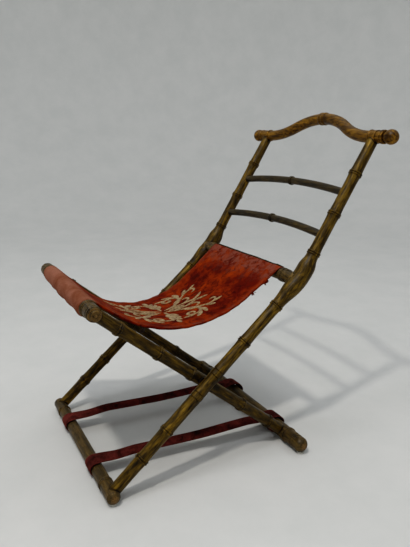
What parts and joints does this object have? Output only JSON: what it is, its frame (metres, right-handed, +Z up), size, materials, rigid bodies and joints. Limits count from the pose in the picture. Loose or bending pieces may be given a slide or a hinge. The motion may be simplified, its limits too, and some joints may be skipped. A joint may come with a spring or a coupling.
{
  "type": "folding chair",
  "caption": "Folding X-frame side chair with turned faux-bamboo rods, a yoke crest with ball finials, arched back slats, a velvet sling seat and floor straps.",
  "frame": {"origin": "on the floor, under the middle of the chair's overall box", "axes": "+Z up, the chair faces -Y, +X is the sitter's left"},
  "size_m": [0.5752, 0.7593, 0.818],
  "materials": {
    "turned_wood": "dark stain with worn gilding",
    "velvet": "worn rust-red velvet",
    "canvas": "coarse canvas",
    "strap_velvet": "crimson velvet band",
    "iron": "dark iron",
    "brass": "tarnished",
    "glide": "pale, scuffed"
  },
  "bodies": {
    "back_frame": {"upright_left": "turned_wood", "upright_right": "turned_wood", "front_floor_rail": "turned_wood", "crest_rail": "turned_wood", "crest_finial_left": "turned_wood", "crest_finial_right": "turned_wood", "upper_back_slat": "turned_wood", "lower_back_slat": "turned_wood", "rear_seat_bar": "turned_wood", "front_glides": "glide", "pivot_screw_left": "iron", "pivot_screw_right": "iron", "pivot_washer_left": "brass", "pivot_washer_right": "brass", "pivot_rove_left": "brass", "pivot_rove_right": "brass", "sling_rear_tacks": "iron", "strap_front_tacks": "iron", "strap_left": "strap_velvet", "strap_right": "strap_velvet"},
    "seat_frame": {"leg_left": "turned_wood", "leg_right": "turned_wood", "front_seat_rail": "turned_wood", "rear_floor_rail": "turned_wood", "rear_glides": "glide", "sling_front_tacks": "iron", "strap_rear_tacks": "iron", "seat_sling": "velvet", "seat_lining": "canvas"}
  },
  "joints": [
    {"name": "fold", "type": "hinge", "parent": "back_frame", "child": "seat_frame", "pos_m": [0, -0.11611, 0.21956], "axis": [-1, 0, 0], "range_deg": [0, 90], "deforming": ["seat_sling", "seat_lining", "strap_left", "strap_right"]}
  ]
}
